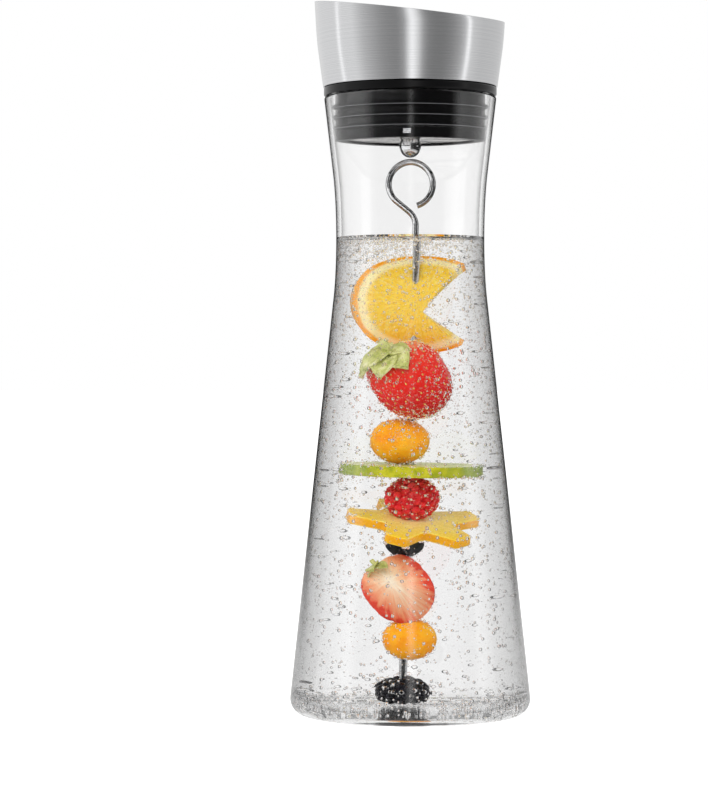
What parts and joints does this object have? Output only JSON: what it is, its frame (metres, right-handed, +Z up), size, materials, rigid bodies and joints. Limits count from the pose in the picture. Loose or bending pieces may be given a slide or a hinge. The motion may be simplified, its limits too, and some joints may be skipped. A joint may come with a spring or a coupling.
{
  "type": "fruit infuser pitcher",
  "caption": "Waisted glass carafe with a slanted steel pour lid, a self-opening flap, and a fruit-laden skewer hanging inside from a ball under the lid.",
  "frame": {"origin": "centre of the base, on the table", "axes": "+Z up along the carafe's axis, front towards -Y, the collar's low side towards +X and the front"},
  "size_m": [0.1006, 0.1006, 0.2992],
  "materials": {
    "clear_glass": "clear blown glass, polished",
    "brushed_steel": "stainless sheet, brushed round its axis",
    "polished_steel": "stainless steel, polished",
    "black_plastic": "moulded, smooth matt",
    "black_silicone": "soft silicone, matt",
    "bramble_skin": "moist drupelets",
    "physalis_skin": "smooth waxy skin",
    "strawberry_flesh": "wet cut flesh and red skin",
    "leaf": "thin leaves",
    "blueberry_skin": "waxy bloom",
    "starfruit_flesh": "wet cut flesh with a waxy rind",
    "raspberry_skin": "moist drupelets",
    "lime_flesh": "wet cut flesh with a green rind",
    "strawberry_skin": "red skin with seeds",
    "orange_flesh": "wet cut flesh with an orange rind"
  },
  "bodies": {
    "carafe": {"glass_carafe": "clear_glass"},
    "lid": {"steel_collar": "brushed_steel", "stopper_core": "black_plastic", "sealing_sleeve": "black_silicone", "pivot_pins": "polished_steel", "stop_tab": "polished_steel"},
    "flap": {"flap_disc": "polished_steel", "hinge_lugs": "polished_steel", "ball_knob": "polished_steel", "knob_screw": "polished_steel"},
    "skewer": {"fruit_skewer": "polished_steel", "bramble": "bramble_skin", "small_physalis": "physalis_skin", "strawberry_half": "strawberry_flesh", "half_strawberry_leaves": "leaf", "blueberry": "blueberry_skin", "starfruit_slice": "starfruit_flesh", "raspberry": "raspberry_skin", "lime_slice": "lime_flesh", "large_physalis": "physalis_skin", "strawberry": "strawberry_skin", "strawberry_leaves": "leaf", "orange_slice": "orange_flesh"}
  },
  "joints": [
    {"name": "lid_lift", "type": "slide", "parent": "carafe", "child": "lid", "axis": [0, 0, 1], "range_m": [0, 0.26]},
    {"name": "flap_tilt", "type": "hinge", "parent": "lid", "child": "flap", "pos_m": [0, 0, 0.24175], "axis": [1, 0, 0], "range_deg": [0, 75]},
    {"name": "skewer_swing", "type": "hinge", "parent": "flap", "child": "skewer", "pos_m": [0, 0, 0.237], "axis": [1, 0, 0], "range_deg": [-75, 0]}
  ],
  "couplings": [
    {"joint": "skewer_swing", "follows": "flap_tilt", "ratio": -1}
  ]
}
